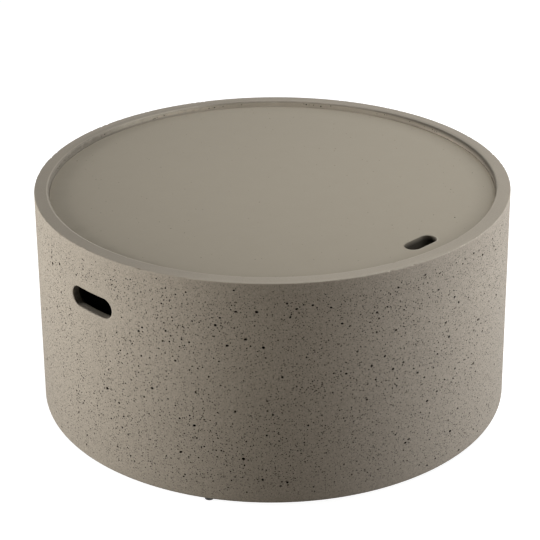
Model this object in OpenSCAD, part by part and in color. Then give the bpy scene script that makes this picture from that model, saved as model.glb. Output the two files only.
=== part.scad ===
// Round coffee table cast in lightweight stone: a hollow drum that stores things
// under a loose slab of a lid. The drum is lifted by two hand slots and the lid by
// a finger slot. Three rubber feet are screwed up into nylon plugs in the base.
// Origin: on the ground under the middle. The hand slots face -X and +X, and the
// lid's finger slot is on the -Y side.

/* [Drum] */
// Diameter of the rim
rim_d = 800; // [700:1:1000]
// How much further out the base is than the rim, on each side
draft = 5; // [0:0.5:12]
// Height of the drum from its base to its rim
drum_h = 385; // [300:1:500]
// Thickness of the side wall
wall_t = 16; // [12:0.5:22]
// Thickness of the floor beside the wall
floor_t = 18; // [14:0.5:30]
// How much the floor falls from the wall to the drain hole
floor_fall = 3; // [0:0.5:6]
// Radius of the inner corner between the floor and the wall
floor_round = 20; // [5:1:40]
// Radius of the bottom outer edge
base_round = 6; // [2:0.5:12]
// Width of the flat ring that the base stands on
base_ring_w = 46; // [30:1:80]
// Height of the hollow under the base, inside that ring
base_hollow_h = 4; // [1:0.5:8]
// Diameter of the drain hole in the middle of the floor
drain_d = 16; // [8:1:30]

/* [Rim and ledge] */
// Width of the rim's flat top
rim_w = 24.5; // [20:0.5:40]
// Radius of the rim's outer edge
rim_round = 1.5; // [0.5:0.25:4]
// Radius of the rim's inner edge
rim_inner_round = 2; // [0.5:0.25:4]
// How far the lid lies below the rim
lid_drop = 10.5; // [2:0.5:20]
// How far the ledge reaches in under the lid
ledge_w = 16; // [12:0.5:40]
// Thickness of the ledge at its nose
ledge_t = 12; // [8:0.5:25]
// Height of the slope that carries the ledge down to the wall
haunch_h = 20; // [10:1:40]
// Radius of the ledge's upper edge
ledge_round = 2; // [0.5:0.5:4]

/* [Lid] */
// Thickness of the lid
lid_t = 22; // [15:0.5:40]
// Open joint all round between the lid and the rim
lid_gap = 2; // [1:0.25:6]
// Radius of the lid's upper edge
lid_round = 3; // [1:0.5:6]
// Chamfer of the lid's lower edge
lid_chamfer = 2; // [0.5:0.5:4]
// Length of the finger slot
finger_w = 64; // [50:1:100]
// Width of the finger slot
finger_h = 28; // [22:1:40]
// Stone left between the finger slot and the lid's edge
finger_edge = 31; // [20:1:80]
// Radius of the finger slot's upper edge
finger_round = 2.5; // [0.5:0.5:5]

/* [Hand slots] */
// Length of a hand slot
slot_w = 95; // [80:1:130]
// Height of a hand slot
slot_h = 34; // [28:1:50]
// Plain wall between the ledge's slope and the top of a hand slot
slot_gap = 6; // [2:0.5:60]
// Radius of a hand slot's edges, outside and inside
slot_round = 3.5; // [1:0.5:5]

/* [Lid pads] */
// Number of rubber pads on the ledge
pad_n = 6; // [6]
// Diameter of a pad
pad_d = 10; // [6:0.5:11]
// Thickness of a pad
pad_t = 2; // [1:0.25:4]
// Chamfer of a pad's upper edge
pad_chamfer = 0.5; // [0.2:0.1:0.8]

/* [Feet] */
// Number of feet
foot_n = 3; // [3]
// Height of a foot
foot_h = 8; // [7:0.5:25]
// Diameter of a foot where it meets the base
foot_top_d = 19; // [16:0.5:26]
// Diameter of a foot where it meets the ground
foot_tip_d = 15.5; // [14:0.5:24]
// Flat of the base that shows outside a foot
foot_inset = 1.5; // [0.5:0.5:8]
// Radius of a foot's lower edge
foot_round = 1.2; // [0.4:0.2:2]
// Rubber between the washer and the base
foot_web = 3; // [2:0.5:6]

/* [Foot fixings] */
// Diameter of the screws
screw_d = 4; // [3:0.5:5]
// Diameter of the screw heads
screw_head_d = 8; // [7:0.5:9]
// Height of the screw heads
screw_head_t = 2.3; // [1.5:0.1:3]
// Diameter of the washers
washer_d = 9; // [8.5:0.5:11]
// Thickness of the washers
washer_t = 1; // [0.6:0.1:1.5]
// Diameter of the nylon plugs
plug_d = 8; // [6:0.5:12]
// Stone left over a plug, under the level of the floor
plug_roof = 2; // [1:0.5:6]
// Clear space between pieces that are pressed or screwed together
fit = 0.05; // [0.02:0.01:0.1]

/* [Hidden] */

// Heights
base_z = foot_h;
rim_z = base_z + drum_h;
floor_z = base_z + floor_t;
lid_top_z = rim_z - lid_drop;
lid_z = lid_top_z - lid_t;
ledge_z = lid_z - pad_t;
haunch_z = ledge_z - ledge_t - haunch_h;
slot_z = haunch_z - slot_gap - slot_h / 2;

// Radii
rim_r = rim_d / 2;
base_r = rim_r + draft;
rim_in_r = rim_r - rim_w;
ledge_r = rim_in_r - ledge_w;
lid_r = rim_in_r - lid_gap;
pad_place_r = (ledge_r + lid_r) / 2;
foot_place_r = base_r - base_round - foot_inset - foot_top_d / 2;
finger_place_r = lid_r - finger_edge - finger_h / 2;

// Lean of the drafted wall from upright
lean = atan(draft / drum_h);

// The plug hole stops under the floor's level, and the screw stops short of the plug's end
plug_l = floor_t - plug_roof;
screw_spare = 2;
washer_z = base_z - foot_web - washer_t;
screw_tip_z = base_z + plug_l - screw_spare;

// Cuts run this far past the faces that they open
past = 1;

stone = [0.60, 0.565, 0.51];
lid_stone = [0.585, 0.555, 0.505];
rubber = [0.06, 0.06, 0.06];
steel = [0.70, 0.70, 0.72];
nylon = [0.86, 0.85, 0.80];

$fn = 96;

// Outer radius of the drafted wall at a height, and its inner radius there
function outer_r(z) = base_r - draft * (z - base_z) / drum_h;
function inner_r(z) = outer_r(z) - wall_t;

// Points of an arc from angle a to angle b
function arc(cx, cy, r, a, b, n) = [
    for (i = [0 : n]) let (t = a + (b - a) * i / n) [cx + r * cos(t), cy + r * sin(t)]
];

// Place of number i of n places round the axis, with the first at the given angle from -Y
function round_place(i, n, r, first) = let (t = first + 360 * i / n) [r * sin(t), -r * cos(t), 0];

// Place of foot i: two stand either side of the finger slot and one at the back
function foot_place(i) = round_place(i, foot_n, foot_place_r, 180);

// Place of lid pad i, half a pitch from the finger slot
function pad_place(i) = round_place(i, pad_n, pad_place_r, 180 / pad_n);

// A slot with round ends that runs along Z, its length along X
module slot_bar(w, h, z_low, z_high) {
    for (side = [-1, 1])
        translate([side * (w - h) / 2, 0, z_low])
            cylinder(r = h / 2, h = z_high - z_low);
    translate([-(w - h) / 2, -h / 2, z_low])
        cube([w - h, h, z_high - z_low]);
}

// Half section of what a rounded mouth of radius r takes away round a slot of width h.
// The face that it opens is at height 0
function mouth_section(h, r) = concat(
    [[0, -r]],
    arc(h / 2 + r, -r, r, 180, 90, 6),
    [[h / 2 + r, past], [0, past]]
);

// The rounded mouth of a slot in a flat face
module flat_mouth(w, h, r) {
    for (side = [-1, 1])
        translate([side * (w - h) / 2, 0, 0])
            rotate_extrude() polygon(mouth_section(h, r));
    for (side = [0, 1])
        mirror([0, side, 0])
            translate([-(w - h) / 2, 0, 0])
                rotate([90, 0, 90])
                    linear_extrude(height = w - h) polygon(mouth_section(h, r));
}

// Section of the drum, from its axis out, up over the rim and back down inside
module drum_section() {
    low_z = base_z + base_round;
    high_z = rim_z - rim_round;
    corner_z = floor_z + floor_round;
    hollow_r = base_r - base_round - base_ring_w;
    polygon(concat(
        [[0, base_z + base_hollow_h], [hollow_r - base_hollow_h, base_z + base_hollow_h], [hollow_r, base_z]],
        arc(outer_r(low_z) - base_round / cos(lean), low_z, base_round, -90, lean, 6),
        arc(outer_r(high_z) - rim_round / cos(lean), high_z, rim_round, lean, 90, 4),
        arc(rim_in_r + rim_inner_round, rim_z - rim_inner_round, rim_inner_round, 90, 180, 4),
        [[rim_in_r, ledge_z]],
        arc(ledge_r + ledge_round, ledge_z - ledge_round, ledge_round, 90, 180, 4),
        [[ledge_r, ledge_z - ledge_t], [inner_r(haunch_z), haunch_z]],
        arc(inner_r(corner_z) - floor_round / cos(lean), corner_z, floor_round, lean, -90, 8),
        [[0, floor_z - floor_fall]]
    ));
}

// Outline of a hand slot, grown by e, as [along, up]: a round end, points along the top
// edge that follow the wall's curve, the other round end, and the bottom edge
end_steps = 8;
edge_steps = 6;
function slot_outline(e) =
    let (half = (slot_w - slot_h) / 2, r = slot_h / 2 + e)
    concat(
        arc(half, 0, r, -90, 90, end_steps),
        [for (i = [1 : edge_steps - 1]) [half - 2 * half * i / edge_steps, r]],
        arc(-half, 0, r, 90, 270, end_steps),
        [for (i = [1 : edge_steps - 1]) [2 * half * i / edge_steps - half, -r]]
    );

// A point of the outline on the wall's outer or inner face, set into the wall by depth
function on_face(p, depth, outside) =
    let (
        z = slot_z + p[1],
        r = outside ? outer_r(z) - depth : inner_r(z) + depth
    )
    [sqrt(r * r - p[0] * p[0]), p[0], z];

// Steps of a rounded mouth, as [growth, depth]: they start inside the slot, turn through
// the rounding and leave the wall at the slant of its last step, so no step lies on a face
mouth_turn = [25, 48, 71];
function mouth_step(t) = slot_round * [1 - cos(t), 1 - sin(t)];
function mouth_steps() =
    let (
        last = mouth_turn[len(mouth_turn) - 1],
        lip = mouth_step(last)
    )
    concat(
        [[-0.3, slot_round + 0.5]],
        [for (t = mouth_turn) mouth_step(t)],
        [[lip[0] + (lip[1] + past) * tan(last), -past]]
    );

// A rounded mouth that follows the curve of the wall, as a lofted solid. Rings of the
// slot's outline grow towards the face, and a fan closes each end
module curved_mouth(outside) {
    steps = mouth_steps();
    count = len(slot_outline(0));
    last = len(steps) - 1;
    rings = [for (s = steps) for (p = slot_outline(s[0])) on_face(p, s[1], outside)];
    middles = [for (k = [0, last]) on_face([0, 0], steps[k][1], outside)];
    walls = [
        for (k = [0 : last - 1])
            for (i = [0 : count - 1])
                let (j = (i + 1) % count, a = k * count, b = a + count)
                    for (f = [[a + i, a + j, b + i], [a + j, b + j, b + i]]) f
    ];
    ends = [
        for (i = [0 : count - 1])
            let (j = (i + 1) % count, a = last * count, middle = len(rings))
                for (f = [[middle, j, i], [middle + 1, a + i, a + j]]) f
    ];
    faces = concat(walls, ends);
    polyhedron(concat(rings, middles), outside ? faces : [for (f = faces) [f[2], f[1], f[0]]]);
}

// One hand slot through the +X side of the wall, with both its mouths
module hand_slot() {
    translate([0, 0, slot_z])
        rotate([90, 0, 90])
            slot_bar(slot_w, slot_h, inner_r(rim_z) - slot_h, base_r + past);
    curved_mouth(true);
    curved_mouth(false);
}

module drum() {
    color(stone)
    difference() {
        rotate_extrude($fn = 180) drum_section();
        hand_slot();
        mirror([1, 0, 0]) hand_slot();
        translate([0, 0, base_z])
            cylinder(r = drain_d / 2, h = floor_t);
        for (i = [0 : foot_n - 1])
            translate(foot_place(i) + [0, 0, base_z - past])
                cylinder(r = plug_d / 2 + fit, h = plug_l + past);
    }
}

module lid() {
    color(lid_stone)
    difference() {
        translate([0, 0, lid_z])
            rotate_extrude($fn = 180)
                polygon(concat(
                    [[0, 0], [lid_r - lid_chamfer, 0], [lid_r, lid_chamfer]],
                    arc(lid_r - lid_round, lid_t - lid_round, lid_round, 0, 90, 6),
                    [[0, lid_t]]
                ));
        translate([0, -finger_place_r, 0]) {
            slot_bar(finger_w, finger_h, lid_z - past, lid_top_z + past);
            translate([0, 0, lid_top_z]) flat_mouth(finger_w, finger_h, finger_round);
        }
    }
}

module lid_pad(i) {
    color(rubber)
    translate(pad_place(i) + [0, 0, ledge_z])
        rotate_extrude()
            polygon([
                [0, 0], [pad_d / 2, 0], [pad_d / 2, pad_t - pad_chamfer],
                [pad_d / 2 - pad_chamfer, pad_t], [0, pad_t]
            ]);
}

// A foot: a tapered bumper with a pocket from below for the washer and the screw's head
module foot(i) {
    pocket_r = washer_d / 2 + fit;
    color(rubber)
    translate(foot_place(i))
        rotate_extrude()
            polygon(concat(
                [[screw_d / 2 + fit, washer_z + washer_t], [pocket_r, washer_z + washer_t], [pocket_r, 0]],
                arc(foot_tip_d / 2 - foot_round, foot_round, foot_round, -90, 0, 4),
                [[foot_top_d / 2, base_z], [screw_d / 2 + fit, base_z]]
            ));
}

module foot_washers() {
    color(steel)
    for (i = [0 : foot_n - 1])
        translate(foot_place(i) + [0, 0, washer_z])
            difference() {
                cylinder(r = washer_d / 2, h = washer_t);
                translate([0, 0, -past])
                    cylinder(r = screw_d / 2 + fit, h = washer_t + 2 * past);
            }
}

// Pan-head screws that point up, with a cross recess
module foot_screws() {
    edge_t = screw_head_t * 0.45;
    recess_w = screw_d * 0.22;
    recess_l = screw_d * 1.05;
    recess_h = screw_head_t * 0.5;
    tip_l = screw_d * 0.6;
    color(steel)
    for (i = [0 : foot_n - 1])
        translate(foot_place(i) + [0, 0, washer_z - screw_head_t])
            difference() {
                rotate_extrude()
                    polygon([
                        [0, 0], [screw_head_d * 0.3, 0], [screw_head_d * 0.43, edge_t * 0.35],
                        [screw_head_d / 2, screw_head_t - edge_t], [screw_head_d / 2, screw_head_t],
                        [screw_d / 2, screw_head_t],
                        [screw_d / 2, screw_tip_z - washer_z + screw_head_t - tip_l],
                        [0, screw_tip_z - washer_z + screw_head_t]
                    ]);
                for (turn = [0, 90])
                    rotate([0, 0, turn])
                        translate([-recess_l / 2, -recess_w / 2, -past])
                            cube([recess_l, recess_w, recess_h + past]);
            }
}

module foot_plugs() {
    color(nylon)
    for (i = [0 : foot_n - 1])
        translate(foot_place(i) + [0, 0, base_z])
            difference() {
                cylinder(r = plug_d / 2, h = plug_l - fit);
                translate([0, 0, -past])
                    cylinder(r = screw_d / 2 + fit, h = plug_l - screw_spare / 2 + past);
            }
}

drum();
lid();
lid_pad(0);  // lid_pad_1
lid_pad(1);  // lid_pad_2
lid_pad(2);  // lid_pad_3
lid_pad(3);  // lid_pad_4
lid_pad(4);  // lid_pad_5
lid_pad(5);  // lid_pad_6
foot(0);  // foot_1
foot(1);  // foot_2
foot(2);  // foot_3
foot_washers();
foot_screws();
foot_plugs();
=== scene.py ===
import math
import random

import bmesh
import bpy
from mathutils import Matrix, Vector, noise
from mathutils.geometry import delaunay_2d_cdt


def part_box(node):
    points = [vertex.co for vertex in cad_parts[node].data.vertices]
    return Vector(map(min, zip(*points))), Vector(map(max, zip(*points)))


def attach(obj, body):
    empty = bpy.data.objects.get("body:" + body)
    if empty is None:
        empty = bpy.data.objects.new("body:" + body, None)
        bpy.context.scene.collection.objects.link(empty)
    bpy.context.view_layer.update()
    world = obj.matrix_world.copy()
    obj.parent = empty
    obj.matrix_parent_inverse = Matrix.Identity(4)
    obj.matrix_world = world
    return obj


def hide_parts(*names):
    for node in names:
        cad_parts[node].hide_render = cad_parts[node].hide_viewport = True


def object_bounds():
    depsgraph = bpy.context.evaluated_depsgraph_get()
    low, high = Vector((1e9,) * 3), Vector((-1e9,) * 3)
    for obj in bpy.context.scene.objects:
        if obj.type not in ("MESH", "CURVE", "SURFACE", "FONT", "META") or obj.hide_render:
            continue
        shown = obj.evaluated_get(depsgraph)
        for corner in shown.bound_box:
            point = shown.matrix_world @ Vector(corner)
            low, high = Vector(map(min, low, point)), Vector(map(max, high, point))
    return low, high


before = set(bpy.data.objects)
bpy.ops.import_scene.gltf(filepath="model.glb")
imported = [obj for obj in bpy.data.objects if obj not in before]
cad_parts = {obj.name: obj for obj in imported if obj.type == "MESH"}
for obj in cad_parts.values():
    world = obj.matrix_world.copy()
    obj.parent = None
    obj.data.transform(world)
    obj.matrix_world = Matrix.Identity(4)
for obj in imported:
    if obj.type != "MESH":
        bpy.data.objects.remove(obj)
cad_low, cad_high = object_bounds()

# The drum
# The body is one hollow casting of cement and light filler, poured into a smooth mould.
# Air trapped against the mould leaves round blowholes all over its side, fewer near the
# rim and the base, and the rim is rubbed down until it is nearly smooth.
mm = 0.001
drum_low, drum_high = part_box("drum")
base_z = drum_low.z
rim_z = drum_high.z
drum_h = rim_z - base_z
base_round = 6 * mm
skin = 0.12 * mm
wall_r = drum_high.x - skin
draft = 5 * mm
wall_t = 16 * mm
rim_r = wall_r - draft
rim_w = 24.5 * mm
rim_round = 1 * mm
rim_inner_round = 2 * mm
rim_bevel = 2.6 * mm
rim_land = 4.5 * mm
recess_play = 0.5 * mm
rim_in_r = rim_r + skin - rim_w + recess_play
recess_top_z = rim_z - 2.2 * mm
lean = math.atan(draft / drum_h)


def outer_r(z):
    """Radius of the drafted wall's outer face at a height."""
    return wall_r - draft * (z - base_z - base_round) / drum_h


def inner_r(z):
    """Radius of the wall's inner face at a height."""
    return outer_r(z) - wall_t


def on_round(angle, r, z):
    """A point round the table's axis. Angle 0 faces -Y, and a quarter turn faces +X."""
    return Vector((r * math.sin(angle), -r * math.cos(angle), z))


def turns(count):
    """Angles of equal columns round the axis, with the seam at the back."""
    return [2 * math.pi * i / count - math.pi for i in range(count)]


def arc(middle_r, middle_z, size, start, end, steps):
    """Points (r, z) of a rounded edge."""
    angles = [start + (end - start) * i / steps for i in range(steps + 1)]
    return [(middle_r + size * math.cos(t), middle_z + size * math.sin(t)) for t in angles]


def within(loop, u, v):
    """True where a spot lies inside a closed loop of flat points."""
    inside = False
    for (u1, v1), (u2, v2) in zip(loop, loop[1:] + loop[:1]):
        if (v1 > v) != (v2 > v) and u < u1 + (u2 - u1) * (v - v1) / (v2 - v1):
            inside = not inside
    return inside


class Casting:
    """The skin of one casting, laid patch by patch and welded where patches meet."""

    def __init__(self):
        self.skin = bmesh.new()
        self.hollow = self.skin.verts.layers.float.new("hollow")
        self.chart = self.skin.faces.layers.int.new("chart")
        self.flat = self.skin.loops.layers.uv.new("OFBake")

    def lay(self, points, faces, chart, hollows=None):
        """Adds a patch. Hollows says how deep in a blowhole each point lies, from 0 to 1."""
        made = [self.skin.verts.new(point) for point in points]
        for vert, deep in zip(made, hollows or []):
            vert[self.hollow] = deep
        for face in faces:
            laid = self.skin.faces.new([made[i] for i in face])
            laid[self.chart] = chart
            laid.smooth = True

    def band(self, rings, chart):
        """A band of faces through closed rings of as many points each."""
        count = len(rings[0])
        faces = []
        for k in range(len(rings) - 1):
            for i in range(count):
                j = (i + 1) % count
                faces.append((k * count + i, k * count + j, (k + 1) * count + j, (k + 1) * count + i))
        self.lay([point for ring in rings for point in ring], faces, chart)

    def turned(self, section, count, chart, wear=None):
        """A band turned round the axis from points (r, z). Wear moves a point at an angle."""
        rings = []
        for k, (r, z) in enumerate(section):
            share = k / (len(section) - 1)
            rings.append([on_round(a, *(wear(a, share, r, z) if wear else (r, z))) for a in turns(count)])
        self.band(rings, chart)

    def face(self, place, border, cuts, holes, step, chart):
        """A broad face: a net of triangles round its cuts and blowholes, set in space by place()."""
        flat = []
        edges = []
        loop_of = []
        loops = [border, *cuts, *[hole.ring(1) for hole in holes]]
        for number, loop in enumerate(loops):
            first = len(flat)
            flat.extend(loop)
            loop_of.extend([number] * len(loop))
            edges.extend((first + i, first + (i + 1) % len(loop)) for i in range(len(loop)))
        near = {(round(u / step), round(v / step)) for u, v in flat}
        low_u, low_v = min(p[0] for p in border), min(p[1] for p in border)
        wide, high = max(p[0] for p in border) - low_u, max(p[1] for p in border) - low_v
        for i in range(1, int(wide / step)):
            for j in range(1, int(high / step)):
                spot = (low_u + step * (i + 0.5 * (j % 2)), low_v + step * j)
                crowded = (round(spot[0] / step), round(spot[1] / step)) in near
                if not crowded and not any(within(cut, *spot) for cut in cuts):
                    flat.append(spot)
                    loop_of.append(0)
        found, _, faces, sources, _, _ = delaunay_2d_cdt([Vector(p) for p in flat], edges, [], 1, 1e-8)
        kept = []
        for face in faces:
            numbers = {loop_of[sources[i][0]] for i in face}
            middle = sum((found[i] for i in face), Vector((0, 0))) / len(face)
            if len(numbers) > 1 or numbers == {0} or not within(loops[numbers.pop()], *middle):
                kept.append(face)
        self.lay([place(*flat[source[0]], 0) for source in sources], kept, chart)
        for hole in holes:
            self.sink(place, hole, chart)

    def sink(self, place, hole, chart):
        """The inside of one blowhole, as rings that go down to a rounded bottom."""
        steps = ((1, 0), (0.84, 0.5), (0.5, 0.95)) if hole.sides > 7 else ((1, 0), (0.68, 0.85))
        points = []
        hollows = []
        for share, deep in steps:
            points.extend(place(u, v, deep * hole.depth) for u, v in hole.ring(share))
            hollows.extend([deep] * hole.sides)
        faces = []
        for k in range(len(steps) - 1):
            for i in range(hole.sides):
                j = (i + 1) % hole.sides
                a, b = k * hole.sides, (k + 1) * hole.sides
                faces.append((a + i, a + j, b + j, b + i))
        last = (len(steps) - 1) * hole.sides
        faces.append(tuple(range(last, last + hole.sides)))
        self.lay(points, faces, chart, hollows)

    def finish(self, name, charts, sharp=38):
        """Welds the patches, lays every face on the square that is baked to, and makes the piece."""
        bmesh.ops.remove_doubles(self.skin, verts=self.skin.verts, dist=5e-6)
        loose = [vert for vert in self.skin.verts if not vert.link_faces]
        bmesh.ops.delete(self.skin, geom=loose, context="VERTS")
        bmesh.ops.recalc_face_normals(self.skin, faces=self.skin.faces)
        for face in self.skin.faces:
            chart = charts[face[self.chart]]
            middle = face.calc_center_median()
            for corner in face.loops:
                corner[self.flat].uv = chart(corner.vert.co, middle)
        mesh = bpy.data.meshes.new(name)
        self.skin.to_mesh(mesh)
        self.skin.free()
        mesh.set_sharp_from_angle(angle=math.radians(sharp))
        piece = bpy.data.objects.new(name, mesh)
        bpy.context.scene.collection.objects.link(piece)
        return piece


class Blowhole:
    """A round hole that an air bubble left: its place on a face, half width and height, and tilt."""

    def __init__(self, u, v, half, stretch, tilt, deep, sides):
        self.u, self.v = u, v
        self.wide, self.high = half * stretch, half
        self.tilt, self.sides = tilt, sides
        self.depth = half * deep

    def ring(self, share):
        """Points of the hole's edge, or of a ring inside it."""
        points = []
        for i in range(self.sides):
            t = 2 * math.pi * i / self.sides
            uneven = noise.noise(Vector((math.cos(t), math.sin(t), 900 * (self.u + self.v))))
            out = share * (1 + 0.22 * uneven)
            x, y = self.wide * out * math.cos(t), self.high * out * math.sin(t)
            turned_x = x * math.cos(self.tilt) - y * math.sin(self.tilt)
            turned_y = x * math.sin(self.tilt) + y * math.cos(self.tilt)
            points.append((self.u + turned_x, self.v + turned_y))
        return points


class Scatter:
    """Drops blowholes on one face so that none meets another."""

    def __init__(self, seed, low_u, high_u, low_v, high_v, chance):
        self.rng = random.Random(seed)
        self.span = (low_u, high_u, low_v, high_v)
        self.chance = chance
        self.holes = []
        self.cell = 9 * mm
        self.taken = {}

    def clear(self, u, v, half):
        """True where a hole of this half width has stone all round it."""
        i, j = int(u // self.cell), int(v // self.cell)
        for key in ((i + di, j + dj) for di in (-1, 0, 1) for dj in (-1, 0, 1)):
            for other in self.taken.get(key, ()):
                if math.hypot(u - other.u, v - other.v) < 1.15 * (half + other.wide) + 0.3 * mm:
                    return False
        return True

    def add(self, hole):
        """Keeps a hole, and notes which cell of the face it takes."""
        self.holes.append(hole)
        self.taken.setdefault((int(hole.u // self.cell), int(hole.v // self.cell)), []).append(hole)

    def put(self, turn, height, width):
        """Adds one large hole at a turn in degrees and a height and width in millimetres."""
        self.add(Blowhole(math.radians(turn) * rim_r, height * mm, 0.44 * width * mm, 1.28, 0, 2, 12))

    def drop(self, count, smallest, largest, sides, deep=2):
        """Adds this many holes, with more small ones than large."""
        low_u, high_u, low_v, high_v = self.span
        for _ in range(40 * count):
            if count == 0:
                return self
            u, v = self.rng.uniform(low_u, high_u), self.rng.uniform(low_v, high_v)
            half = (smallest + (largest - smallest) * self.rng.random() ** 2.2) / 2
            stretch = 1 + 0.7 * self.rng.random() ** 4
            tilt = self.rng.gauss(0, 0.5)
            if self.rng.random() > self.chance(u, v) or not self.clear(u, v, half * stretch):
                continue
            self.add(Blowhole(u, v, half, stretch, tilt, deep * self.rng.uniform(0.8, 1.2), sides))
            count -= 1
        return self


def ease(low, high, x):
    """A smooth step from 0 at low to 1 at high."""
    t = min(1, max(0, (x - low) / (high - low)))
    return t * t * (3 - 2 * t)


# The hand slots, one in each side, with rounded mouths
slot_w = 95 * mm
slot_h = 34 * mm
slot_round, slot_inner_round = 2 * mm, 4 * mm
slot_z = rim_z - 89.5 * mm
mouth = [(1 - math.cos(t), 1 - math.sin(t)) for t in [math.pi / 2 * (1 - i / 6) for i in range(7)]]


def round_ended(wide, high, grow, edge):
    """The outline of a slot with round ends, grown on all sides, with this many steps an edge."""
    half, r = (wide - high) / 2, high / 2 + grow
    end = [math.pi * (i / 16 - 0.5) for i in range(17)]
    outline = [(half + r * math.cos(t), r * math.sin(t)) for t in end]
    outline += [(half - 2 * half * i / edge, r) for i in range(1, edge)]
    return outline + [(-x, -y) for x, y in outline]


def from_round_ended(across, up, wide, high):
    """How far a spot is from a slot with round ends. It is measured from the slot's middle."""
    return math.hypot(max(0, abs(across) - (wide - high) / 2), up) - high / 2


def slot_ring(side, grow, depth, outside):
    """A ring round a hand slot, as (angle, r, z), set into the wall by depth from one face."""
    ring = []
    for along, up in round_ended(slot_w, slot_h, grow, 12):
        z = slot_z + up
        radius = outer_r(z) - depth if outside else inner_r(z) + depth
        ring.append((side * math.pi / 2 + math.asin(along / radius), radius, z))
    return ring


def slot_cuts(grow, outside):
    """Both hand slots' rings on one face of the wall, unrolled flat."""
    return [[(rim_r * a, z) for a, _, z in slot_ring(side, grow, 0, outside)] for side in (-1, 1)]


outer_low_z = base_z + base_round
outer_high_z = rim_z - 4 * mm
rough_columns, fine_columns = 360, 960
seam_u = math.pi * rim_r
seam_gap = 6 * mm


def wall_border(low_z, high_z, low_count, high_count):
    """The outline of the wall unrolled flat, with its seam at both ends."""
    rise = [low_z + (high_z - low_z) * i / 24 for i in range(1, 24)]
    low = [(rim_r * a, low_z) for a in turns(low_count)] + [(seam_u, low_z)]
    high = [(rim_r * a, high_z) for a in turns(high_count)] + [(seam_u, high_z)]
    return low + [(seam_u, z) for z in rise] + high[::-1] + [(-seam_u, z) for z in rise[::-1]]


def from_slot(u, v):
    """How far a spot on the wall is from the nearest hand slot."""
    across = min(abs(u - side * rim_r * math.pi / 2) for side in (-1, 1))
    return from_round_ended(across, v - slot_z, slot_w, slot_h)


def off_seam(u):
    """True where a spot on the unrolled wall is clear of the seam at its ends."""
    return min(abs(u - seam_u), abs(u + seam_u)) > seam_gap


def side_chance(u, v):
    """How likely a blowhole is at a spot on the side."""
    patch = noise.noise(Vector((u * 9, v * 11, 3))) + 0.6 * noise.noise(Vector((u * 28, v * 28, 8)))
    low_band = ease(4 * mm, 36 * mm, v - base_z)
    rim_band = ease(5 * mm, 28 * mm, rim_z - v)
    halo = ease(9 * mm, 26 * mm, from_slot(u, v))
    return off_seam(u) * low_band * rim_band * halo * min(1, max(0.1, 0.62 + 0.75 * patch))


def large_chance(u, v):
    """Large blowholes rose in the mould, so more of them lie high on the side."""
    return side_chance(u, v) * (0.45 + 0.55 * ease(200 * mm, 300 * mm, v))


# The largest holes that show, each as its turn, height and width
largest_holes = (
    (-48, 346, 5), (-52.5, 345, 4), (-54.5, 287, 4.6), (-56, 333, 3.4), (-39.5, 350, 4.2),
    (-36, 355, 4), (-32, 348, 3.8), (-29.5, 319, 4.2), (-72.5, 191, 4.8), (-53, 174, 3.6),
    (-28.5, 232, 4), (-22.5, 238, 3.6), (-14.5, 230, 3.8), (-10.5, 203, 4.6), (-7.5, 145, 4.6),
    (-4.5, 155, 4), (1.5, 180, 4), (0.5, 67, 5), (-13.5, 83, 4.2), (0.5, 310, 4),
    (11.5, 354, 5), (10.5, 242, 5), (21, 254, 4.8), (4, 20, 4.2), (-83, 61, 4.2), (-102.5, 338, 5))
side_holes = Scatter(11, -seam_u, seam_u, outer_low_z + 3 * mm, outer_high_z - 3 * mm, large_chance)
for turn, height, width in largest_holes:
    side_holes.put(turn, height, width)
side_holes.drop(125, 3.4 * mm, 4.8 * mm, 11)
side_holes.chance = side_chance
side_holes.drop(240, 2.8 * mm, 3.4 * mm, 10)
side_holes.drop(900, 2.2 * mm, 2.8 * mm, 7)
side_holes.drop(2100, 1.7 * mm, 2.2 * mm, 6)

drum = Casting()
drum.face(lambda u, v, deep: on_round(u / rim_r, outer_r(v) - deep, v),
          wall_border(outer_low_z, outer_high_z, rough_columns, fine_columns),
          slot_cuts(slot_round, True), side_holes.holes, step=13 * mm, chart=0)

# The base's rounded edge, and the rim with its rubbed and slightly chipped edges
base_arc = arc(outer_r(outer_low_z) - base_round / math.cos(lean), outer_low_z, base_round,
               -math.pi / 2, lean, 6)
base_arc[-1] = (outer_r(outer_low_z), outer_low_z)
drum.turned(base_arc, rough_columns, 1)

rim_arc_z = rim_z - rim_round
rim_arc = arc(outer_r(rim_arc_z) - rim_round / math.cos(lean), rim_arc_z, rim_round, lean, math.pi / 2, 5)
rim_edge = [(outer_r(outer_high_z), outer_high_z), (outer_r(rim_z - rim_bevel), rim_z - rim_bevel)]
rim_edge += rim_arc + [(rim_r - rim_bevel, rim_z), (rim_r - rim_land, rim_z)]


def edge_wear(seed, most, rare):
    """Wear of an edge: slight unevenness all along it, with small chips here and there."""

    def wear(angle, share, r, z):
        spot = Vector((math.cos(angle), math.sin(angle), seed))
        uneven = 0.5 + 0.5 * noise.noise(spot * 25)
        chips = max(0, noise.noise(spot * 70) + 0.5 * noise.noise(spot * 8) - rare)
        off = math.sin(math.pi * share) ** 1.5 * (0.12 * mm * uneven + most * min(1, 2.5 * chips))
        return r - off, z - off

    return wear


drum.turned(rim_edge, fine_columns, 0, edge_wear(1.7, 1.5 * mm, 0.36))
inner_z = rim_z - rim_inner_round
inner_arc = arc(rim_in_r + rim_inner_round, inner_z, rim_inner_round, math.pi / 2, math.pi, 5)
inner_edge = [(rim_in_r + rim_land, rim_z)] + inner_arc + [(rim_in_r, recess_top_z)]
rim_flat = [(r, rim_z) for r in (rim_r - rim_land, rim_r - rim_w / 2, rim_in_r + rim_land)]
drum.turned(rim_flat, fine_columns, 0)


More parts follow.
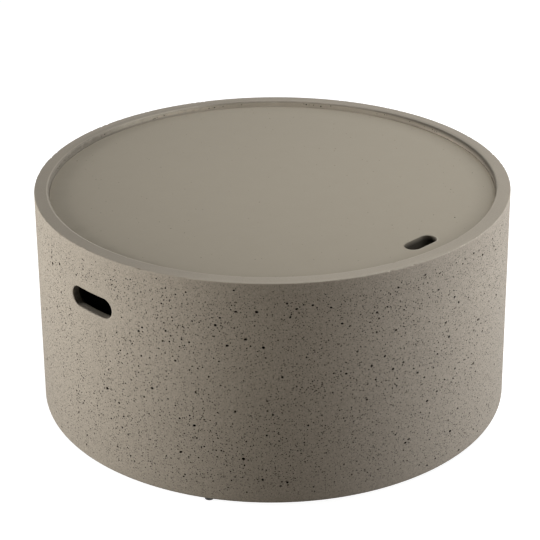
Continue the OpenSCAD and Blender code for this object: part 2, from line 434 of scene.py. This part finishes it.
def inner_wear(angle, share, r, z):
    """The same wear on the rim's inner edge, where stone lies outside the edge."""
    shifted_r, worn_z = edge_wear(5.3, 0.9 * mm, 0.45)(angle, share, r, z)
    return 2 * r - shifted_r, worn_z


drum.turned(inner_edge, fine_columns, 2, inner_wear)

# The recess for the lid, the ledge that carries it and the slope below the ledge
lid_low, lid_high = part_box("lid")
ledge_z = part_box("lid_pad_1")[0].z
ledge_w, ledge_t, haunch_h, ledge_round = 17.2 * mm, 12 * mm, 20 * mm, 2 * mm
ledge_r = rim_in_r - ledge_w
haunch_z = ledge_z - ledge_t - haunch_h
recess_holes = Scatter(5, -seam_u + seam_gap, seam_u - seam_gap,
                       recess_top_z - 5 * mm, recess_top_z - 1.6 * mm,
                       lambda u, v: 0.05 + (noise.noise(Vector((u * 12, 4, 2))) > 0))
recess_holes.drop(110, 1.6 * mm, 2.9 * mm, 8)
drum.face(lambda u, v, deep: on_round(u / rim_r, rim_in_r + deep, v),
          wall_border(ledge_z, recess_top_z, rough_columns, fine_columns),
          [], recess_holes.holes, step=9 * mm, chart=2)
ledge_arc = arc(ledge_r + ledge_round, ledge_z - ledge_round, ledge_round, math.pi / 2, math.pi, 4)
ledge = [(rim_in_r, ledge_z)] + ledge_arc + [(ledge_r, ledge_z - ledge_t)]
drum.turned(ledge, rough_columns, 2)
drum.turned([(ledge_r, ledge_z - ledge_t), (inner_r(haunch_z), haunch_z)], rough_columns, 3)

# The inside of the wall, the floor that falls to the drain hole, and the hollow underside
floor_z = base_z + 18 * mm
floor_fall = 3 * mm
floor_round = 20 * mm
drain_r, drain_columns = 8 * mm, 48
base_hollow = 4 * mm
hollow_r = wall_r + skin - base_round - 46 * mm
corner_z = floor_z + floor_round


def inside_chance(u, v):
    """Blowholes inside keep off the hand slots and the seam."""
    return off_seam(u) and from_slot(u, v) > 12 * mm


inside_holes = Scatter(23, -seam_u, seam_u, corner_z + 5 * mm, haunch_z - 5 * mm, inside_chance)
inside_holes.drop(150, 2.0 * mm, 5.0 * mm, 8)
drum.face(lambda u, v, deep: on_round(u / rim_r, inner_r(v) + deep, v),
          wall_border(corner_z, haunch_z, rough_columns, rough_columns),
          slot_cuts(slot_inner_round, False), inside_holes.holes, step=24 * mm, chart=3)
corner = arc(inner_r(corner_z) - floor_round / math.cos(lean), corner_z, floor_round, lean, -math.pi / 2, 8)
corner[0] = (inner_r(corner_z), corner_z)
drum.turned(corner, rough_columns, 3)
floor_r = corner[-1][0]


def disc_border(r, count):
    """A ring seen from above, as flat points."""
    return [tuple(on_round(a, r, 0).xy) for a in turns(count)]


def floor_place(x, y, deep):
    """A point of the floor, which falls towards the drain hole."""
    r = math.hypot(x, y)
    return Vector((x, y, floor_z - floor_fall * (1 - (r - drain_r) / (floor_r - drain_r)) - deep))


drain_ring = disc_border(drain_r, drain_columns)
floor_holes = Scatter(31, -floor_r, floor_r, -floor_r, floor_r,
                      lambda x, y: 14 * mm < math.hypot(x, y) < floor_r - 8 * mm)
floor_holes.drop(60, 2.0 * mm, 4.5 * mm, 8)
drum.face(floor_place, disc_border(floor_r, rough_columns), [drain_ring],
          floor_holes.holes, step=26 * mm, chart=4)
drum.turned([(drain_r, floor_z - floor_fall), (drain_r, base_z + base_hollow)], drain_columns, 4)
under_holes = Scatter(37, -hollow_r, hollow_r, -hollow_r, hollow_r,
                      lambda x, y: 14 * mm < math.hypot(x, y) < hollow_r - 12 * mm)
under_holes.drop(60, 2.0 * mm, 5.0 * mm, 8)
under_r = hollow_r - base_hollow
drum.face(lambda x, y, deep: Vector((x, y, base_z + base_hollow + deep)),
          disc_border(under_r, rough_columns), [drain_ring], under_holes.holes, step=26 * mm, chart=5)
drum.turned([(under_r, base_z + base_hollow), (hollow_r, base_z)], rough_columns, 5)

# The flat ring that the base stands on, with a hole for the plug over each foot
plug_hole_r, plug_columns = 4.05 * mm, 24
plug_top_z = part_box("foot_plugs")[1].z + 0.05 * mm
foot_places = [(low + high) / 2 for low, high in [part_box("foot_%d" % i) for i in (1, 2, 3)]]
plug_rings = [[(spot.x + plug_hole_r * math.cos(t), spot.y + plug_hole_r * math.sin(t))
               for t in [2 * math.pi * i / plug_columns for i in range(plug_columns)]]
              for spot in foot_places]
drum.face(lambda x, y, deep: Vector((x, y, base_z + deep)), disc_border(base_arc[0][0], rough_columns),
          [disc_border(hollow_r, rough_columns), *plug_rings], [], step=16 * mm, chart=5)
for plug_ring in plug_rings:
    walls = [[Vector((x, y, z)) for x, y in plug_ring] for z in (base_z, plug_top_z)]
    drum.band(walls, 5)
    drum.lay(walls[1], [tuple(range(plug_columns))], 5)

# The short way through the wall at each hand slot, between its rounded mouths
for side in (-1, 1):
    rings = [slot_ring(side, slot_round * grow, slot_round * deep, True) for grow, deep in mouth]
    for grow, deep in mouth[::-1]:
        rings.append(slot_ring(side, slot_inner_round * grow, slot_inner_round * deep, False))
    drum.band([[on_round(a, r, z) for a, r, z in ring] for ring in rings], 6)


def unrolled(scale, r, strips, low_u, low_v, rise, along):
    """A chart of faces round the axis, unrolled into strips one above another."""

    def place(spot, middle):
        turn = math.atan2(middle.x, -middle.y)
        strip = min(strips - 1, int((turn / math.pi + 1) / 2 * strips))
        start = math.pi * (2 * strip / strips - 1)
        turn += math.remainder(math.atan2(spot.x, -spot.y) - turn, 2 * math.pi)
        up = low_v + strip * rise + scale * along(spot, spot.xy.length)
        return low_u + scale * r * (turn - start), up

    return place


def seen_flat(scale, u, v):
    """A chart of faces seen from above or below."""
    return lambda spot, middle: (u + scale * spot.x, v + scale * spot.y)


def side_up(spot, r):
    """The way up the side and over the rim's outer edge."""
    return spot.z - outer_low_z + (rim_r - r if spot.z > outer_high_z + 0.1 * mm else 0)


def base_up(spot, r):
    """The way up the base's rounded edge."""
    return spot.z - base_z + r - base_arc[0][0]


def rim_down(spot, r):
    """The way from the rim's top over its inner edge, down the recess and round the ledge."""
    wall = ledge_z + 0.1 * mm < spot.z < recess_top_z
    return rim_z - spot.z + rim_in_r + rim_land - (rim_in_r if wall else r)


def inside_down(spot, r):
    """The way down the slope below the ledge and the inside of the wall."""
    return ledge_z - ledge_t - spot.z + (wall_r - r) / 2


def slot_chart(spot, middle):
    """The way through the wall, unrolled round the hand slot."""
    turn = math.atan2(middle.z - slot_z, middle.y)
    turn += math.remainder(math.atan2(spot.z - slot_z, spot.y) - turn, 2 * math.pi)
    return 0.48 + 0.026 * turn, 0.86 + 0.04 * (middle.x > 0) + 0.7 * (abs(spot.x) - 0.38)


drum_charts = [
    unrolled(scale=0.7, r=rim_r, strips=2, low_u=0.03, low_v=0.008, rise=0.296, along=side_up),
    unrolled(scale=0.7, r=rim_r, strips=2, low_u=0.03, low_v=0.594, rise=0.014, along=base_up),
    unrolled(scale=0.7, r=rim_r, strips=2, low_u=0.03, low_v=0.624, rise=0.056, along=rim_down),
    unrolled(scale=0.3, r=inner_r(0.2), strips=1, low_u=0.015, low_v=0.735, rise=0, along=inside_down),
    seen_flat(scale=0.2, u=0.085, v=0.92),
    seen_flat(scale=0.18, u=0.24, v=0.92),
    slot_chart]
drum_body = drum.finish("drum_body", drum_charts)
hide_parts("drum")
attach(drum_body, "table")


class Wire:
    """A value that runs between the nodes of a finish. Sums and products of wires add Math nodes."""

    def __init__(self, finish, socket):
        self.finish = finish
        self.socket = socket

    def maths(self, operation, *values):
        return self.finish.node("ShaderNodeMath", {"operation": operation}, dict(enumerate(values)))

    def __add__(self, other):
        return self.maths("ADD", self, other)

    def __sub__(self, other):
        return self.maths("SUBTRACT", self, other)

    def __rsub__(self, other):
        return self.maths("SUBTRACT", other, self)

    def __mul__(self, other):
        return self.maths("MULTIPLY", self, other)

    def __pow__(self, other):
        return self.maths("POWER", self, other)

    __radd__ = __add__
    __rmul__ = __mul__

    def clip(self):
        """The value held between 0 and 1."""
        return self.finish.node("ShaderNodeClamp", {}, {"Value": self})

    def between(self, low, high):
        """0 at low, 1 at high and even in between, held between 0 and 1."""
        return ((self - low) * (1 / (high - low))).clip()


class Finish:
    """The nodes of a material, or of the room's light. Node() adds any node: settings, then sockets."""

    def __init__(self, owner, shader="Principled BSDF"):
        owner.use_nodes = True
        self.owner = owner
        self.tree = owner.node_tree
        self.shader = self.tree.nodes[shader]

    def node(self, kind, settings, sockets, output=0):
        made = self.tree.nodes.new(kind)
        for name, value in settings.items():
            setattr(made, name, value)
        for key, value in sockets.items():
            self.feed(made.inputs[key], value)
        return Wire(self, made.outputs[output])

    def feed(self, socket, value):
        if isinstance(value, Wire):
            self.tree.links.new(value.socket, socket)
        else:
            socket.default_value = value

    def set(self, **sockets):
        """Sets or links sockets of the main shader, named with underscores for spaces."""
        for name, value in sockets.items():
            self.feed(self.shader.inputs[name.replace("_", " ")], value)

    def blend(self, share, first, second):
        """One colour turning into another as share goes from 0 to 1."""
        return self.node("ShaderNodeMix", {"data_type": "RGBA"}, {0: share, 6: first, 7: second}, 2)

    def noise(self, place, size, detail=3, rough=0.55):
        """Cloudy noise whose lumps are about size across."""
        sockets = {"Vector": place, "Scale": 1 / size, "Detail": detail, "Roughness": rough}
        return self.node("ShaderNodeTexNoise", {}, sockets)

    def pinholes(self, place, cell, share, largest, soft):
        """Round specks, one in some cells. Largest is a speck's half width as a share of a cell."""
        sockets = {"Vector": place, "Scale": 1 / cell, "Randomness": 1}
        far = self.node("ShaderNodeTexVoronoi", {}, sockets, "Distance")
        tint = self.node("ShaderNodeTexVoronoi", {}, sockets, "Color")
        chance = self.node("ShaderNodeSeparateColor", {}, {"Color": tint})
        half = (0.4 + 0.6 * chance.between(1 - share, 1)) * largest
        return ((half - far) * (1 / soft)).clip() * chance.between(1 - share, 1 - share + 0.01)


def paint(red, green, blue):
    """A colour written as screen values from 0 to 255, in the linear light of a shader."""
    parts = [c / 255 for c in (red, green, blue)]
    return (*[c / 12.92 if c <= 0.04045 else ((c + 0.055) / 1.055) ** 2.4 for c in parts], 1)


def cast_stone(name, tone, deep_tone, pale_tone, cloud, surface, paling):
    """Cast stone: clouded and finely grained, with pinholes and blowholes whose insides are painted near
    black as painted shade. Its lightness carries the painted light and shade that the surface function
    gives, and its pale tone goes on worn edges and on painted highlights.
    """
    stone = Finish(bpy.data.materials.new(name))
    place = stone.node("ShaderNodeTexCoord", {}, {}, "Object")
    clouds = stone.noise(place, 0.16, 4) - 0.5
    lumps = stone.noise(place, 0.035, 3) - 0.5
    sand = stone.noise(place, 3 * mm, 2, 0.7) - 0.5
    dust = stone.noise(place, 1.1 * mm, 1) - 0.5
    # Painted shade: the deeper a point lies in a blowhole, the nearer its colour comes to the deep tone.
    hollow = stone.node("ShaderNodeAttribute", {"attribute_name": "hollow"}, {}, "Fac").between(0.02, 0.4)
    light, grain, pitted = surface(stone, place)
    light = light * (1 + cloud * clouds + cloud * 0.8 * lumps + grain * (sand + 0.7 * dust))
    toned = {0: tone[:3], "Scale": light}
    shade = stone.node("ShaderNodeVectorMath", {"operation": "SCALE"}, toned, "Vector")
    edged = stone.blend(paling(stone, place), shade, pale_tone)
    stone.set(Base_Color=stone.blend((pitted + hollow).clip(), edged, deep_tone))
    stone.set(Roughness=(0.76 + 0.25 * clouds + 0.12 * sand + 0.15 * pitted).clip())
    stone.set(Specular_IOR_Level=0.05)
    height = grain * (0.4 * sand + 0.24 * dust) - 0.9 * pitted
    sockets = {"Strength": 0.5, "Distance": 0.5 * mm, "Height": height}
    stone.set(Normal=stone.node("ShaderNodeBump", {}, sockets, "Normal"))
    return stone.owner


# The drum's tone; the near black of pinholes and of the painted shade inside blowholes; the pale tone of
# worn edges and painted highlights.
drum_tone = paint(156, 149, 138)
stone_deep = paint(12, 10, 7)
stone_pale = paint(172, 165, 153)


def parts_of(stone, place):
    """A place split into its x, y and z, and its distance from the axis."""
    x, y, z = [stone.node("ShaderNodeSeparateXYZ", {}, {0: place}, key) for key in "XYZ"]
    return x, y, z, (x * x + y * y) ** 0.5


def towards(turn, x, y, r):
    """1 where a place lies in the direction of this turn from the axis, -1 on the far side."""
    return (math.sin(turn) * x - math.cos(turn) * y) * r.maths("DIVIDE", 1, r)


def facing(degrees, spot, start, full):
    """A soft patch round the direction of a turn. Start and full are cosines off that direction."""
    return towards(math.radians(degrees), *spot).between(start, full)


def shifted_r(x, y):
    """How far a place is from a middle a little off the drum's axis. The painted shade of the recess and
    the pale line beside the rim's inner edge are measured from it, so they reach further out on one side.
    """
    off = on_round(math.radians(135), 1.5 * mm, 0)
    return ((x - off.x) * (x - off.x) + (y - off.y) * (y - off.y)) ** 0.5


def off_round_ended(across, up, wide, high):
    """How far a place is from a slot with round ends, as from_round_ended() has it for a spot."""
    along = across.maths("MAXIMUM", across.maths("ABSOLUTE", across) - (wide - high) / 2, 0)
    return (along * along + up * up) ** 0.5 - high / 2


def drum_pits(stone, place):
    """Pinholes too fine to cut. They keep off the rim, the foot and the hand slots' surrounds."""
    _, y, z, _ = parts_of(stone, place)
    low_band = z.between(base_z + 5 * mm, base_z + 42 * mm)
    rim_band = (rim_z - z).between(4 * mm, 32 * mm)
    halo = off_round_ended(y, z - slot_z, slot_w, slot_h).between(8 * mm, 26 * mm)
    room = (0.25 + 0.75 * low_band) * (0.25 + 0.75 * rim_band) * (0.15 + 0.85 * halo)
    patch = stone.noise(place, 90 * mm, 3).between(0.34, 0.62)
    large = stone.pinholes(place, 4.4 * mm, 0.9, 0.29, 0.04)
    small = stone.pinholes(place, 2.9 * mm, 1, 0.32, 0.08)
    return (room * (0.6 + 0.4 * patch) * large + (0.3 + 0.7 * room) * 0.85 * small).clip()


def drum_painted_light_and_shade(stone, place):
    """How light the drum's stone is painted, as painted light and shade. The side is darker towards the
    base, and the rim top is a little lighter, with painted light on one side and painted shade on another.
    The recess has painted shade all round and under the rim's inner edge on one side. It has painted light
    on its wall below the top few millimetres towards the back, on its upper wall at the back, and at its
    foot on one side. The inner half of the rim top has painted shade towards the back."""
    x, y, z, r = parts_of(stone, place)
    spot, below, out, shifted_out = (x, y, r), rim_z - z, r - rim_in_r, shifted_r(x, y) - rim_in_r
    # Painted shade: the side is darker towards the base.
    light = 0.79 + 0.16 * z.between(base_z, rim_z - 100 * mm)

    # Painted light on one side of the rim top and painted shade on another.
    top = 1 - below.between(0.5 * mm, 1.5 * mm)
    clear = 0.11 * facing(-25, spot, 0.75, 1)
    dullness_and_shade = 0.13 * facing(-115, spot, 0.55, 0.95)
    light = light * (1 + top * (0.03 + clear - dullness_and_shade))

    # Painted shade in the recess, with painted light lower on its wall on one side and on its upper wall at
    # the back.
    recess = 1 - shifted_out.between(0.8 * mm, 1.6 * mm)
    painted_wall_light = 0.7 * facing(120, spot, 0.4, 0.8) * below.between(1 * mm, 3.5 * mm)
    painted_back_light = 0.55 * facing(172, spot, 0.93, 0.99) * (1 - below.between(6.5 * mm, 8.5 * mm))
    light = light * (1 + recess * (painted_wall_light + painted_back_light - 0.15))
    # Painted light at the foot of the recess wall on one side, where the lid meets it.
    foot = 0.7 * facing(55, spot, 0.8, 0.95) * below.between(7 * mm, 10 * mm)
    light = light * (1 + recess * foot)

    # Painted shadow under the rim's inner edge on one side.
    inner_edge = (1 - below.between(3 * mm, 7 * mm)) * (1 - out.between(1.5 * mm, 5 * mm))
    light = light * (1 - 0.42 * facing(68, spot, 0.79, 0.97) * inner_edge)
    # Painted shade on the rim top along its inner edge on that side.
    inner_rim = (1 - below.between(0.5 * mm, 3 * mm)) * (1 - out.between(3 * mm, 11 * mm))
    light = light * (1 - 0.22 * facing(85, spot, 0.83, 0.97) * inner_rim)
    # Painted shade on the inner half of the rim top towards the back.
    middle_r = rim_r - rim_w / 2
    inner_half = top * (1 - r.between(middle_r - 2 * mm, middle_r + 3 * mm))
    return light * (1 - 0.12 * facing(172, spot, 0.8, 0.95) * inner_half)


def drum_surface(stone, place):
    """How light, how grainy and how pitted the drum is. Its side is rougher than its rim and
    recess."""
    _, _, z, r = parts_of(stone, place)
    side = (r - rim_in_r).between(0, 0.2 * mm) * (rim_z - z).between(1.2 * mm, 3 * mm)
    return drum_painted_light_and_shade(stone, place), 0.2 + 0.6 * side, drum_pits(stone, place) * (0.12 + 0.88 * side)


def rim_wear_and_highlight(stone, place):
    """Where the drum's stone is paler: rubbed wear on the rim's outer edge and on a line beside its inner
    edge, painted highlights on that line on one side and near the outer edge on another, and pale streaks
    on the recess wall at the back.
    """
    x, y, z, r = parts_of(stone, place)
    spot, out, shifted_out = (x, y, r), r - rim_in_r, shifted_r(x, y) - rim_in_r
    high = 1 - (rim_z - z).between(0.6 * mm, 2.6 * mm)

    edge = r.between(rim_r - 1.8 * mm, rim_r - 0.8 * mm)
    patchy = stone.noise(place, 30 * mm, 4).between(0.52, 0.66)
    flecks = stone.noise(place, 6 * mm, 2).between(0.58, 0.66) * facing(-8, spot, 0.85, 0.95)
    # Painted highlight on the rim top near its outer edge on one side.
    painted_highlight = r.between(rim_r - 7 * mm, rim_r - 4.5 * mm) * facing(-30, spot, 0.75, 0.95)
    outer = (0.4 * patchy + flecks) * edge + 0.3 * painted_highlight

    line = shifted_out.between(1.2 * mm, 2 * mm) * (1 - shifted_out.between(3.6 * mm, 4.6 * mm))
    # The line beside the inner edge: worn paler all round, with a painted highlight on one side.
    inner_wear_and_highlight = (0.2 + 0.6 * facing(-75, spot, 0.2, 0.5)) * line

    wall = (1 - out.between(0, 1 * mm)) * z.between(lid_high.z + 1 * mm, lid_high.z + 3 * mm)
    streaks = stone.noise(place, 11 * mm, 3).between(0.52, 0.62) * facing(172, spot, 0.6, 0.95)
    return (high * (outer + inner_wear_and_highlight) + 0.5 * wall * streaks).clip()


drum_body.data.materials.append(
    cast_stone("drum_stone_cast", drum_tone, stone_deep, stone_pale, 0.10, drum_surface, rim_wear_and_highlight))

# The lid
# A slab cast face down on a smooth table, so its top is dense and almost free of holes.
# It lies loose on the ledge, and a finger slot near its edge lifts it.
lid_z, lid_top_z = lid_low.z, lid_high.z
lid_grow, lid_shift = 2.1 * mm, 0.2 * mm
lid_r = lid_high.x + lid_grow
lid_round, lid_chamfer, lid_columns = 0.7 * mm, 2 * mm, 720
finger_w, finger_h, finger_edge = 64 * mm, 28 * mm, 31 * mm
finger_round, finger_chamfer = 1.2 * mm, 0.8 * mm
finger_y = -(lid_r - finger_edge - finger_h / 2)
lid_tone = paint(155, 148, 135)


def finger_ring(grow):
    """A ring round the finger slot, seen from above."""
    return [(x, finger_y + y) for x, y in round_ended(finger_w, finger_h, grow, 8)]


def lid_chance(x, y):
    """Blowholes on the lid keep off its edge and the finger slot."""
    off_finger = from_round_ended(x, y - finger_y, finger_w, finger_h) > 10 * mm
    return off_finger and math.hypot(x, y) < lid_r - 12 * mm


def lid_top(x, y, deep):
    """A point of the lid's top, which is uneven by less than a quarter of a millimetre."""
    near_edge = ease(0.8 * lid_r, 0.95 * lid_r, math.hypot(x, y))
    uneven = 0.11 * mm * (1 + noise.noise(Vector((x * 7, y * 7, 4)))) * (1 - near_edge)
    return Vector((x, y, lid_top_z - uneven - deep))


top_holes = Scatter(41, -lid_r, lid_r, -lid_r, lid_r, lid_chance).drop(60, 0.9 * mm, 2.2 * mm, 8, 1.1)
lid = Casting()
lid.face(lid_top, disc_border(lid_r - lid_round, lid_columns), [finger_ring(finger_round)],
         top_holes.holes, step=22 * mm, chart=0)
lid_arc = arc(lid_r - lid_round, lid_top_z - lid_round, lid_round, math.pi / 2, 0, 6)
lid.turned(lid_arc, lid_columns, 1, edge_wear(7.7, 0.3 * mm, 0.5))
lid.turned([lid_arc[-1], (lid_r, lid_z + lid_chamfer), (lid_r - lid_chamfer, lid_z)], lid_columns, 1)
low_holes = Scatter(43, -lid_r, lid_r, -lid_r, lid_r, lid_chance).drop(160, 1.5 * mm, 4.5 * mm, 8)
lid.face(lambda x, y, deep: Vector((x, y, lid_z + deep)), disc_border(lid_r - lid_chamfer, lid_columns),
         [finger_ring(finger_chamfer)], low_holes.holes, step=24 * mm, chart=2)
finger_wall = [(finger_round * grow, lid_top_z - finger_round * deep) for grow, deep in mouth]
finger_wall += [(0, lid_z + finger_chamfer), (finger_chamfer, lid_z)]
finger_rings = [[Vector((x, y, z)) for x, y in finger_ring(grow)] for grow, z in finger_wall]
finger_rings[0] = [lid_top(x, y, 0) for x, y in finger_ring(finger_round)]
lid.band(finger_rings, 3)


def edge_down(spot, r):
    """The way down the lid's edge, over its rounded and chamfered corners."""
    return lid_top_z - spot.z + (r - lid_r if spot.z > lid_z + 0.01 else lid_r - r) + lid_round


def finger_chart(spot, middle):
    """The finger slot's wall, unrolled round the slot."""
    turn = math.atan2(middle.y - finger_y, middle.x)
    turn += math.remainder(math.atan2(spot.y - finger_y, spot.x) - turn, 2 * math.pi)
    return 0.75 + 0.025 * turn, 0.5 + 0.86 * (lid_top_z - spot.z)


lid_charts = [
    seen_flat(scale=0.86, u=0.325, v=0.325),
    unrolled(scale=0.86, r=lid_r, strips=4, low_u=0.02, low_v=0.66, rise=0.04, along=edge_down),
    seen_flat(scale=0.4, u=0.83, v=0.17),
    finger_chart]
lid_slab = lid.finish("lid_slab", lid_charts)
lid_slab.location = on_round(math.radians(45), lid_shift, 0)
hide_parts("lid")
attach(lid_slab, "lid")


def from_finger(x, y):
    """How far a place on the lid is from the finger slot, below 0 inside it."""
    return off_round_ended(x, y - finger_y, finger_w, finger_h)


def lid_surface(stone, place):
    """How light, how grainy and how pitted the lid is. Painted shadow darkens it a little towards its edge,
    most on one side. Painted shade darkens one half and the finger slot deeper down, and painted light
    brightens its outer edge on the most shaded side. Its few marks and pinholes are faint."""
    x, y, z, r = parts_of(stone, place)
    edge = r.between(lid_r - 45 * mm, lid_r)
    right = 0.5 + 0.5 * towards(math.radians(35), x, y, r)
    dullness_and_shade = (0.5 + 0.5 * towards(math.radians(-100), x, y, r)) * r.between(0, lid_r)
    down = (1 - from_finger(x, y).between(1.3 * mm, 2 * mm)) * (lid_top_z - z).between(1 * mm, 9 * mm)
    # Painted shadow of the rim along the lid's edge, strongest on one side.
    light = 1.01 - (0.03 + 0.28 * right ** 2) * edge ** 1.8
    # Painted shade over one half of the lid and deep in the finger slot.
    light = light * (1.03 - 0.12 * dullness_and_shade ** 2) * (1 - 0.7 * down)
    # Painted light along the lid's outer edge on that side.
    light = light * (1 + 0.7 * right.between(0.8, 0.95) * r.between(lid_r - 5 * mm, lid_r - 1 * mm))
    marks = stone.pinholes(place, 9 * mm, 0.25, 0.16, 0.06)
    fine = stone.pinholes(place, 3 * mm, 0.3, 0.2, 0.12)
    return light, 0.06, (0.35 * marks + 0.10 * fine).clip()


def lid_wear_and_highlight(stone, place):
    """Where the lid's stone is paler: rubbed wear on its upper edge, and a painted highlight on the finger
    slot's near edge.
    """
    x, y, z, r = parts_of(stone, place)
    edge = 0.25 * r.between(lid_r - 2.5 * mm, lid_r)
    mouth_top = 1 - (lid_top_z - z).between(0.5 * mm, 1.5 * mm)
    # Painted highlight along the finger slot's near edge.
    mouth_highlight = (1 - from_finger(x, y).between(1.8 * mm, 3 * mm)) * mouth_top
    near = 1 - y.between(finger_y - 6 * mm, finger_y + 2 * mm)
    return edge + 0.7 * mouth_highlight * near


lid_slab.data.materials.append(
    cast_stone("lid_stone_cast", lid_tone, stone_deep, stone_pale, 0.05, lid_surface, lid_wear_and_highlight))

# The pads and feet
# Six soft rubber dots are glued to the ledge, so that stone never lies on stone. Three
# tapered feet of harder black rubber are moulded, and each is screwed up into the base.


def rubber(name, tone):
    """Moulded rubber: nearly black, with a dull bloom and a fine grain."""
    black = Finish(bpy.data.materials.new(name))
    place = black.node("ShaderNodeTexCoord", {}, {}, "Object")
    bloom = black.noise(place, 9 * mm, 4).between(0.45, 0.8)
    grain = black.noise(place, 0.5 * mm, 2)
    black.set(Base_Color=black.blend(0.5 * bloom, tone, paint(58, 57, 55)))
    black.set(Roughness=0.55 + 0.25 * bloom)
    sockets = {"Strength": 0.25, "Distance": 0.1 * mm, "Height": grain}
    black.set(Normal=black.node("ShaderNodeBump", {}, sockets, "Normal"))
    return black.owner


pad_rubber = rubber("pad_rubber_soft", paint(30, 30, 30))
foot_rubber = rubber("foot_rubber_hard", paint(24, 24, 24))
for name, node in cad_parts.items():
    if name.startswith("lid_pad_"):
        node.material_slots[0].material = pad_rubber
    if name in ("foot_1", "foot_2", "foot_3"):
        node.material_slots[0].material = foot_rubber

# The foot fixings
# A zinc-plated screw and washer hold each foot. The screw bites into a plug of white nylon
# that is set into the stone of the base.
zinc = Finish(bpy.data.materials.new("zinc_plate"))
place = zinc.node("ShaderNodeTexCoord", {}, {}, "Object")
dullness_and_shade = zinc.noise(place, 2.5 * mm, 4)
zinc.set(Base_Color=zinc.blend(dullness_and_shade, paint(186, 188, 190), paint(150, 152, 156)))
zinc.set(Metallic=1.0, Roughness=0.28 + 0.3 * dullness_and_shade)
nylon = Finish(bpy.data.materials.new("plug_nylon_white"))
place = nylon.node("ShaderNodeTexCoord", {}, {}, "Object")
clouds = nylon.noise(place, 6 * mm, 3)
nylon.set(Base_Color=nylon.blend(clouds, paint(226, 222, 208), paint(210, 205, 190)))
nylon.set(Roughness=0.5)
for name, finish, slot in (("foot_screws", zinc, "zinc_steel"), ("foot_washers", zinc, "zinc_steel"),
                           ("foot_plugs", nylon, "plug_nylon")):
    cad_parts[name].material_slots[0].material = finish.owner

# The floor
# A plain white studio floor under the table. It shows white to the camera and keeps a
# faint shadow.
floor_size = 12
floor_tone, floor_seen_tone = (0.16, 0.16, 0.16, 1), (0.45, 0.45, 0.45, 1)
dark, floor_glow = (0, 0, 0, 1), (0.93, 0.93, 0.93, 1)
floor_mesh = bpy.data.meshes.new("studio_floor")
corners = [(x * floor_size, y * floor_size, 0) for x, y in ((-1, -1), (1, -1), (1, 1), (-1, 1))]
floor_mesh.from_pydata(corners, [], [(0, 1, 2, 3)])
studio_floor = bpy.data.objects.new("studio_floor", floor_mesh)
bpy.context.scene.collection.objects.link(studio_floor)


def seen_by(finish):
    """1 where the camera looks straight at this, in a mirror or through glass, and 0 for light."""
    straight, mirrored, through = [finish.node("ShaderNodeLightPath", {}, {}, "Is %s Ray" % kind)
                                   for kind in ("Camera", "Glossy", "Transmission")]
    return (straight + mirrored + through).clip()


plain = Finish(bpy.data.materials.new("studio_floor_paint"))
seen = seen_by(plain)
plain.set(Roughness=1, Specular_IOR_Level=0, Emission_Strength=1)
plain.set(Base_Color=plain.blend(seen, floor_tone, floor_seen_tone))
plain.set(Emission_Color=plain.blend(seen, dark, floor_glow))
floor_mesh.materials.append(plain.owner)

# The light
# Low soft boxes stand at the left and the right, with broad ones above them, and high ones
# light the top and the back. The room behind shows white and gives little light.
view_turn = math.radians(-44.5)
middle = Vector((0, 0, (cad_low.z + cad_high.z) / 2))


def soft_box(name, turn, away, height, wide, tall, power, colour):
    """A soft box at a turn from the camera's side of the table, facing the table's middle."""
    data = bpy.data.lights.new(name, "AREA")
    data.shape = "RECTANGLE"
    data.size, data.size_y = wide, tall
    data.energy = power
    data.color = colour
    box = bpy.data.objects.new(name, data)
    bpy.context.scene.collection.objects.link(box)
    box.location = on_round(view_turn + math.radians(turn), away, height)
    box.rotation_mode = "QUATERNION"
    box.rotation_quaternion = (middle - box.location).to_track_quat("-Z", "Y")


soft_box("left_low_box", -75, 2.4, 0.2, 1.2, 0.3, 22.5, (0.92, 0.96, 1))
soft_box("left_front_box", -50, 2.4, 0.2, 1.2, 0.3, 15.6, (1, 0.88, 0.72))
soft_box("left_box", -80, 2.4, 0.8, 1.2, 0.6, 32.7, (1, 0.975, 0.95))
soft_box("right_low_box", 75, 2.4, 0.2, 1.2, 0.3, 33.5, (1, 0.955, 0.92))
soft_box("right_end_box", 100, 2.4, 0.2, 1.2, 0.3, 12, (0.74, 0.85, 1))
soft_box("right_box", 80, 2.4, 0.8, 1.2, 0.6, 8, (1, 1, 1))
soft_box("right_high_box", 110, 2, 1.8, 1.2, 1.2, 12.3, (0.76, 0.86, 1))
soft_box("top_box", 90, 1, 2.4, 1.2, 1.2, 38.2, (1, 0.975, 0.93))
soft_box("back_box", 180, 1.4, 2.2, 1.4, 1.2, 5, (1, 1, 1))

room_glow, room_seen = (0.01, 0.01, 0.01, 1), (1, 1, 1, 1)
world = bpy.data.worlds.new("studio_room")
bpy.context.scene.world = world
room = Finish(world, "Background")
room.set(Color=room.blend(seen_by(room), room_glow, room_seen))

# The camera
# A long lens, a little under four times the table's width away. It looks down at the table
# from the front left corner.
view_rise = math.radians(26.285)
view_away = 2.9594
aim_z = 0.2007
aim_left = math.radians(0.0969)
aim_up = math.radians(0.3607)
roll = math.radians(-0.4125)
sensor_w, lens = 36, 113.39
back = on_round(view_turn, math.cos(view_rise), math.sin(view_rise))
right = Vector((math.cos(view_turn), math.sin(view_turn), 0))
up = back.cross(right)
eye = back * view_away + Vector((0, 0, aim_z))
forward = (-back - right * math.tan(aim_left) + up * math.tan(aim_up)).normalized()
across = forward.cross(up).normalized()
upward = across.cross(forward)
across, upward = (across * math.cos(roll) + upward * math.sin(roll),
                  upward * math.cos(roll) - across * math.sin(roll))
camera_data = bpy.data.cameras.new("camera")
camera_data.sensor_width = sensor_w
camera_data.lens = lens
camera = bpy.data.objects.new("camera", camera_data)
bpy.context.scene.collection.objects.link(camera)
rows = zip(zip(across, upward, -forward), eye)
camera.matrix_world = Matrix([(*row, away) for row, away in rows] + [(0, 0, 0, 1)])
bpy.context.scene.camera = camera
bpy.context.scene.view_settings.view_transform = "Standard"
